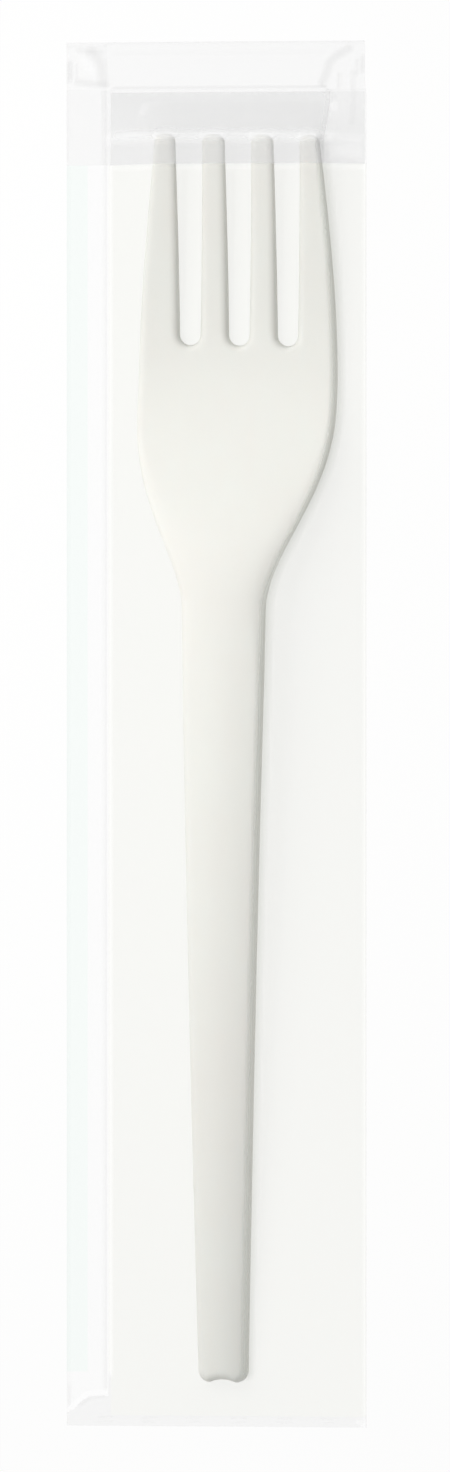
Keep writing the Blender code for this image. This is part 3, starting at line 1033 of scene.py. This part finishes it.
def makeFilmMaterial(name):
    s = filmDefaults | filmFinishes[name]
    material = bpy.data.materials.new(name)
    material.use_nodes = True
    tree = material.node_tree
    tree.nodes.clear()
    facing = addNode(tree, "ShaderNodeLayerWeight", None, {"Blend": 0.5}).outputs["Facing"]
    cosine = addNode(
        tree, "ShaderNodeMath", {"operation": "SUBTRACT", "use_clamp": True}, {0: 1.0, 1: facing}
    )
    depth = addNode(
        tree, "ShaderNodeMath", {"operation": "MAXIMUM"},
        {0: cosine.outputs[0], 1: 1 / s["deepest"]},
    )
    mark = addNode(tree, "ShaderNodeAttribute", {"attribute_name": "mark"})
    milky = addNode(
        tree, "ShaderNodeMath", {"operation": "ADD", "use_clamp": True},
        {0: mark.outputs["Fac"], 1: s["milk"]},
    )
    cover = addNode(
        tree, "ShaderNodeMath", {"operation": "DIVIDE", "use_clamp": True},
        {0: milky.outputs[0], 1: depth.outputs[0]},
    )
    left = addNode(tree, "ShaderNodeMath", {"operation": "SUBTRACT"}, {0: 1.0, 1: cover.outputs[0]})
    through = addNode(
        tree, "ShaderNodeMath", {"operation": "POWER"}, {0: left.outputs[0], 1: s["sides"]}
    )
    clear = addNode(tree, "ShaderNodeBsdfTransparent", None, {"Color": linear(s["tint"])})
    milk = addNode(tree, "ShaderNodeBsdfDiffuse", None, {"Color": linear(s["milkColour"])})
    body = addNode(
        tree, "ShaderNodeMixShader", None,
        {0: through.outputs[0], 1: milk.outputs[0], 2: clear.outputs[0]},
    )
    # Painted highlights and reflections: plain white diffuse mixed in where the white attribute
    # says
    highlightShare = addNode(tree, "ShaderNodeAttribute", {"attribute_name": "white"})
    paintedHighlight = addNode(tree, "ShaderNodeBsdfDiffuse", None, {"Color": linear(s["highlightColour"])})
    body = addNode(
        tree, "ShaderNodeMixShader", None,
        {0: highlightShare.outputs["Fac"], 1: body.outputs[0], 2: paintedHighlight.outputs[0]},
    )
    gloss = addNode(
        tree, "ShaderNodeBsdfGlossy", None,
        {"Color": (1.0, 1.0, 1.0, 1.0), "Roughness": s["roughness"]},
    )
    grazing = addNode(tree, "ShaderNodeMath", {"operation": "POWER"}, {0: facing, 1: s["grazing"]})
    mirror = addNode(
        tree, "ShaderNodeMapRange", None,
        {"Value": grazing.outputs[0], "To Min": s["mirror"], "To Max": 1.0},
    )
    surface = addNode(
        tree, "ShaderNodeMixShader", None,
        {0: mirror.outputs[0], 1: body.outputs[0], 2: gloss.outputs[0]},
    )
    addNode(tree, "ShaderNodeOutputMaterial", None, {"Surface": surface.outputs[0]})
    return material


sheetFinishes = [name for name in filmFinishes if name != "pressed weld film"]  # of the bars
film = makeFilm({name: makeFilmMaterial(name) for name in sheetFinishes})
film.visible_shadow = film.visible_diffuse = False  # so thin that it takes no light away
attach(film, "root")
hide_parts("film_bag")
filmWidth = bs["right"] - bs["left"]

# The hot jaws leave two rows of short pressed bars in the end weld

barSettings = {
    "rows": 2,
    "rowGap": 0.53 * mm,
    "lowestRow": 0.6 * mm,  # from the bag's lower edge
    "pitch": 6.06 * mm,
    "length": 2.1 * mm,
    "width": 0.24 * mm,
    "height": 0.05 * mm,
    "level": 0.1 * mm,  # just over the weld
}


def barTree(material):
    # Short bars on the points of a grid
    tree = bpy.data.node_groups.new("pressed bars", "GeometryNodeTree")
    tree.interface.new_socket("Geometry", in_out="OUTPUT", socket_type="NodeSocketGeometry")
    for name in ("Across", "Row Gap", "Bar Length", "Bar Width", "Bar Height"):
        tree.interface.new_socket(name, in_out="INPUT", socket_type="NodeSocketFloat")
    for name in ("Columns", "Rows"):
        tree.interface.new_socket(name, in_out="INPUT", socket_type="NodeSocketInt")
    given = addNode(tree, "NodeGroupInput").outputs
    depth = addNode(
        tree, "ShaderNodeMath", {"operation": "SUBTRACT"}, {0: given["Rows"], 1: 1.0}
    )
    depth = addNode(
        tree, "ShaderNodeMath", {"operation": "MULTIPLY"},
        {0: depth.outputs[0], 1: given["Row Gap"]},
    )
    grid = addNode(
        tree, "GeometryNodeMeshGrid", None,
        {
            "Size X": given["Across"], "Size Y": depth.outputs[0],
            "Vertices X": given["Columns"], "Vertices Y": given["Rows"],
        },
    )
    size = addNode(
        tree, "ShaderNodeCombineXYZ", None,
        {0: given["Bar Length"], 1: given["Bar Width"], 2: given["Bar Height"]},
    )
    bar = addNode(tree, "GeometryNodeMeshCube", None, {"Size": size.outputs[0]})
    bars = addNode(
        tree, "GeometryNodeInstanceOnPoints", None,
        {"Points": grid.outputs["Mesh"], "Instance": bar.outputs["Mesh"]},
    )
    real = addNode(tree, "GeometryNodeRealizeInstances", None, {0: bars.outputs[0]})
    made = addNode(
        tree, "GeometryNodeSetMaterial", None, {"Geometry": real.outputs[0], "Material": material}
    )
    addNode(tree, "NodeGroupOutput", None, {0: made.outputs[0]})
    return tree


def makeBars(s, material):
    count = int(filmWidth / s["pitch"])
    tree = barTree(material)
    sizes = {
        "Across": (count - 1) * s["pitch"], "Row Gap": s["rowGap"], "Bar Length": s["length"],
        "Bar Width": s["width"], "Bar Height": s["height"], "Columns": count, "Rows": s["rows"],
    }
    holder = meshPiece("bar holder", [], [], [])
    modifier = holder.modifiers.new("bars", "NODES")
    modifier.node_group = tree
    for item in tree.interface.items_tree:
        if item.item_type == "SOCKET" and item.in_out == "INPUT":
            modifier[item.identifier] = sizes[item.name]
    evaluated = holder.evaluated_get(bpy.context.evaluated_depsgraph_get())
    made = bpy.data.meshes.new_from_object(evaluated)
    bpy.data.objects.remove(holder)
    middle = 0.5 * (bs["left"] + bs["right"])
    upRow = bs["bottom"] + s["lowestRow"] + 0.5 * (s["rows"] - 1) * s["rowGap"]
    made.transform(Matrix.Translation((middle, upRow, s["level"] + 0.5 * s["height"])))
    made.name = "weldBars"
    bars = bpy.data.objects.new("weldBars", made)
    scene.collection.objects.link(bars)
    return bars


bars = makeBars(barSettings, makeFilmMaterial("pressed weld film"))
bars.visible_shadow = bars.visible_diffuse = False
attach(bars, "root")
print("film bag", len(film.data.polygons), "faces, weld bars", len(bars.data.polygons), "faces")
